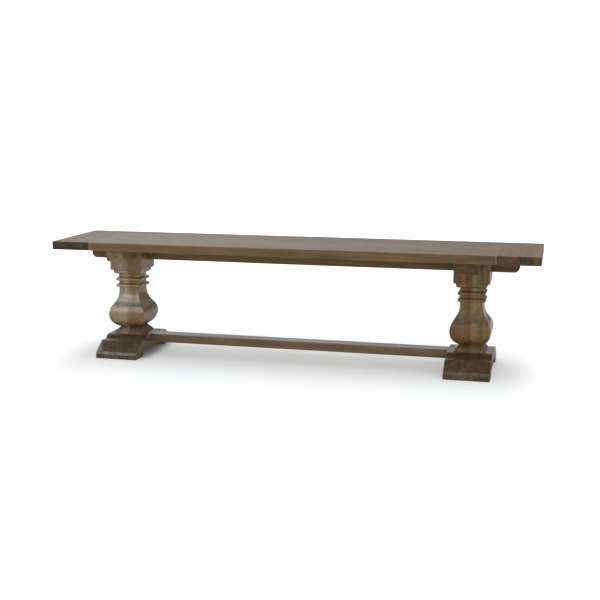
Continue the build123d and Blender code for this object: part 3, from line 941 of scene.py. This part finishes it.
def separate_solids(node):
    """The corners of each separate solid in a CAD node."""
    mesh = bmesh.new()
    mesh.from_mesh(nodes[node].data)
    mesh.transform(nodes[node].matrix_world)
    bmesh.ops.remove_doubles(mesh, verts=mesh.verts, dist=merge_distance)
    left_over = set(mesh.verts)
    solids = []
    for first in mesh.verts:
        if first not in left_over:
            continue
        left_over.remove(first)
        reached = [first]
        for corner in reached:
            for edge in corner.link_edges:
                far = edge.other_vert(corner)
                if far in left_over:
                    left_over.remove(far)
                    reached.append(far)
        solids.append([corner.co.copy() for corner in reached])
    mesh.free()
    return solids


def screw_sizes(node):
    """Places of the equal screws in a CAD node, and their radii and lengths."""
    places = []
    for corners in separate_solids(node):
        spread = [(min(c[n] for c in corners), max(c[n] for c in corners)) for n in range(3)]
        x, y, middle = (sum(pair) / 2 for pair in spread)
        bottom, top = spread[2]
        off_axis = [(math.hypot(c.x - x, c.y - y), c.z) for c in corners]
        head_radius = max(off for off, _ in off_axis)
        rim = [height for off, height in off_axis if off > rim_share * head_radius]
        upward = sum(rim) / len(rim) < middle
        face, tip = (bottom, top) if upward else (top, bottom)
        head_height = max(abs(height - face) for height in rim)
        clear_of_head = clear_of_head_share * head_height
        shank_radius = max(off for off, height in off_axis if abs(height - face) > clear_of_head)
        places.append((x, y, face))
    sizes = {"Shank Radius": shank_radius, "Length": abs(tip - face) - head_height,
             "Head Radius": head_radius, "Head Height": head_height, "Turn": 0.0 if upward else math.pi}
    return places, sizes


def screw_tree():
    """A screw with a cross slot, a plain neck, a thread and a point, set at every point of the input mesh."""
    lengths = ("Shank Radius", "Length", "Head Radius", "Head Height", "Thread Pitch", "Turn")
    tree, given = geometry_tree("threaded_screw", lengths, ["Head Sides"])
    radius = given["Shank Radius"]
    head_radius = given["Head Radius"]
    head_height = given["Head Height"]
    length = given["Length"]
    root = radius * thread_root_share
    neck = length * plain_neck_share
    point = radius * point_share
    thread_length = length - neck - point

    def raised(shape, height):
        """A shape raised to a height on the screw's axis."""
        return moved(tree, shape, tree.point(z=height))

    def rod(sides, bottom, top, depth, height):
        """A straight or tapered round rod that starts at a height."""
        sockets = {"Vertices": sides, "Radius Top": top, "Radius Bottom": bottom, "Depth": depth}
        return raised(tree.node("GeometryNodeMeshCone", None, sockets), height)

    long = head_radius * slot_length_share
    narrow = head_radius * slot_width_share
    deep = head_height * slot_depth_share
    slots = [cut_box(tree, (-x, -y, -deep), (x, y, deep)) for x, y in ((long, narrow), (narrow, long))]
    head = rod(given["Head Sides"], head_radius * head_face_share, head_radius, head_height, 0.0)
    head = cut(tree, head, *slots)
    thread_radius = radius * thread_centre_share
    spiral = tree.node("GeometryNodeCurveSpiral", None,
                       {"Resolution": shank_sides, "Rotations": thread_length / given["Thread Pitch"],
                        "Start Radius": thread_radius, "End Radius": thread_radius, "Height": thread_length})
    ridge = tree.node("GeometryNodeCurvePrimitiveCircle", None,
                      {"Resolution": ridge_sides, "Radius": radius * thread_ridge_share})
    thread = tree.node("GeometryNodeCurveToMesh", None,
                       {"Curve": spiral, "Profile Curve": ridge, "Fill Caps": True})
    parts = [head, rod(shank_sides, radius, radius, neck, head_height),
             rod(shank_sides, root, root, thread_length, head_height + neck),
             rod(shank_sides, root, 0.0, point, head_height + length - point),
             raised(thread, head_height + neck)]
    screw = crisp(tree, tree.node("GeometryNodeJoinGeometry", None, {0: parts}))
    row = tree.node("GeometryNodeInstanceOnPoints", None,
                    {"Points": given["Geometry"], "Instance": screw, "Rotation": tree.point(given["Turn"])})
    return close_tree(tree, row, given["Material"])


def screws(material):
    """All rows of screws, each in place of its CAD node."""
    group = screw_tree()
    rows = ["rail_screws"]
    rows += [f"{name}_{hand}" for name in ("cleat_screws", "head_screws", "foot_screws") for hand in hands]
    for node in rows:
        places, values = screw_sizes(node)
        spots = bpy.data.meshes.new("screw_places")
        spots.from_pydata(places, [], [])
        pitch = values["Shank Radius"] * thread_pitch_share
        values.update({"Head Sides": head_sides, "Thread Pitch": pitch, "Material": material})
        keep(shaped(f"{node}_threaded", spots, group, values), "zinc_steel", node)


# Stage: floor, light and camera. Places are in metres, and the rest are levels where 1 is white

floor_half = 30.0
floor_colour = 0.88
floor_tint = (0.975, 1.0, 1.025, 1.0)
front_shine = 0.36
back_shine = 0.6
shine_rise = (-0.2, 0.7)
floor_lift = 0.31
# How much the floor glows onto the bench, as painted bounce light
floor_glow = 0.26
far_lift = 0.6
far_rise = (1.3, 3.5)
side_lift = 0.2
side_rise = (0.8, 1.0)
# The painted shadow beside the left foot: its depth, reach, soft edge and how far along the foot it runs
painted_shadow_depth = 0.95
painted_shadow_reach = 0.05
painted_shadow_edge = 0.02
painted_shadow_front_share = 0.6
sky_level = 0.54
room_shine = 0.22
least_shine = 0.1
left_shine = 0.45
high_shine = 0.42
high_rise = (0.16, 0.28)
sheen_colour = (0.75, 0.87, 1.0)


def seen_rays(tree):
    """Masks of rays straight from the camera, and of rays that show the room in a shine or through glass."""
    path = tree.node("ShaderNodeLightPath", output="Is Camera Ray")
    return path, path.other("Is Glossy Ray").math("MAXIMUM", path.other("Is Transmission Ray"))


def floor_paint():
    """Matt pale paint, lifted towards white where it is seen, apart from a painted shadow beside the left
    foot. Where it is not seen it glows a little, as painted bounce light on the bench.
    """
    material = bpy.data.materials.new("pale_floor")
    tree = empty_tree(material)
    place = tree.node("ShaderNodeTexCoord", output="Object")
    distance = tree.node("ShaderNodeVectorMath", {"operation": "LENGTH"}, {0: place}, output="Value")
    x, y, _ = tree.parts(place)
    straight, reflected = seen_rays(tree)
    shine = front_shine + y.smooth(*shine_rise) * (back_shine - front_shine)
    grey = floor_colour + reflected * (shine - floor_colour)
    cool = tree.mix(1.0, grey, floor_tint, "MULTIPLY")
    paint = tree.node("ShaderNodeBsdfDiffuse", None, {"Color": cool})

    far = distance.smooth(*far_rise) * far_lift
    beside = abs(x).smooth(*side_rise) * side_lift
    low, high = foot_boxes["left"]
    # A painted shadow on the floor beside the left foot's inner side
    painted_shadow = (1 - (x - high.x).smooth(0.0, painted_shadow_reach)) * (x - low.x).smooth(0.0, painted_shadow_edge)
    painted_shadow = painted_shadow * (1 - abs(y).smooth(high.y * painted_shadow_front_share, high.y))
    seen = straight * (floor_lift * (1 - painted_shadow * painted_shadow_depth) + far + beside)
    # For all other rays the floor glows onto the bench: painted bounce light from below
    unseen = (1 - straight) * (1 - reflected) * floor_glow
    lift = tree.node("ShaderNodeEmission", None, {"Color": seen + unseen, "Strength": 1.0})
    both = tree.node("ShaderNodeAddShader", None, {0: paint, 1: lift})
    tree.node("ShaderNodeOutputMaterial", None, {"Surface": both})
    return material


def floor():
    """One wide level sheet."""
    mesh = bpy.data.meshes.new("floor")
    corners = [(x * floor_half, y * floor_half, 0) for x, y in ((-1, -1), (1, -1), (1, 1), (-1, 1))]
    mesh.from_pydata(corners, [], [(0, 1, 2, 3)])
    mesh.materials.append(floor_paint())
    plane = new_object("floor", mesh)


def sky():
    """An even white room: plain light on the bench, and white where it is seen."""
    world = bpy.data.worlds.new("room")
    bpy.context.scene.world = world
    tree = empty_tree(world)
    straight, reflected = seen_rays(tree)
    sideways, _, upward = tree.parts(tree.node("ShaderNodeTexCoord", output="Generated"))
    shine = (room_shine - sideways * left_shine).math("MAXIMUM", least_shine)
    shine = shine + upward.smooth(*high_rise) * high_shine
    strength = sky_level + straight * (1 - sky_level) + reflected * (shine - sky_level)
    light = tree.node("ShaderNodeBackground", None, {"Color": (1, 1, 1, 1), "Strength": strength})
    tree.node("ShaderNodeOutputWorld", None, {"Surface": light})


def softbox(name, place, aim, size, power, colour=(1, 1, 1), lights_matt=True):
    """A lamp with an even face. One that doesn't light matt surfaces only shows in the lacquer's shine."""
    lamp = bpy.data.lights.new(name, "AREA")
    lamp.shape = "RECTANGLE"
    lamp.size, lamp.size_y = size
    lamp.energy = power
    lamp.color = colour
    stand = new_object(name, lamp)
    stand.location = place
    stand.rotation_euler = (Vector(aim) - Vector(place)).to_track_quat("-Z", "Y").to_euler()
    stand.visible_camera = False
    stand.visible_diffuse = lights_matt


def lights():
    """A wide lamp overhead, a weak one at the front, and two for the cool sheen on the left post and foot."""
    softbox("overhead", place=(0.2, 0.3, 4.0), aim=(0, 0, 0), size=(6.0, 3.0), power=82)
    softbox("front_left", place=(-1.6, -1.75, 0.6), aim=(-0.7, 0.0, 0.2), size=(0.8, 0.8), power=1.0)
    softbox("sheen_left", place=(-1.5, -1.67, 1.2), aim=(-0.69, -0.05, 0.4), size=(0.8, 1.3), power=7.5,
            colour=sheen_colour, lights_matt=False)
    softbox("sheen_high", place=(-1.54, -1.16, 1.89), aim=(-0.69, -0.05, 0.19), size=(1.0, 1.1), power=4,
            colour=sheen_colour, lights_matt=False)


def camera():
    """The photograph's view."""
    lens = bpy.data.cameras.new("camera")
    lens.lens = camera_lens
    stand = new_object("camera", lens)
    stand.location = camera_place
    stand.rotation_euler = (math.pi / 2 + camera_tilt, 0, camera_turn)
    bpy.context.scene.camera = stand


# The bench, piece by piece, and its stage
dress(panel_wood(), *[f"seat_board_{n}" for n in range(1, 6)])
dress(rail_wood(), "seat_rail")
dress(stretcher_wood(), "stretcher")
steel = zinc_steel()
pegs = dowel_wood()
for hand in hands:
    dress(end_wood(hand), f"seat_end_{hand}")
    dress(foot_wood(hand), f"foot_{hand}", f"stretcher_plug_{hand}")
    dress(cleat_wood(hand), f"cleat_{hand}")
    dress(pegs, f"seat_end_pegs_{hand}", f"foot_dowels_{hand}")
    dress(steel, f"foot_washers_{hand}", f"stretcher_bolt_{hand}", f"stretcher_washer_{hand}",
          f"stretcher_nut_{hand}")
posts()
screws(steel)
floor()
sky()
lights()
camera()
bpy.context.scene.view_settings.view_transform = "Standard"
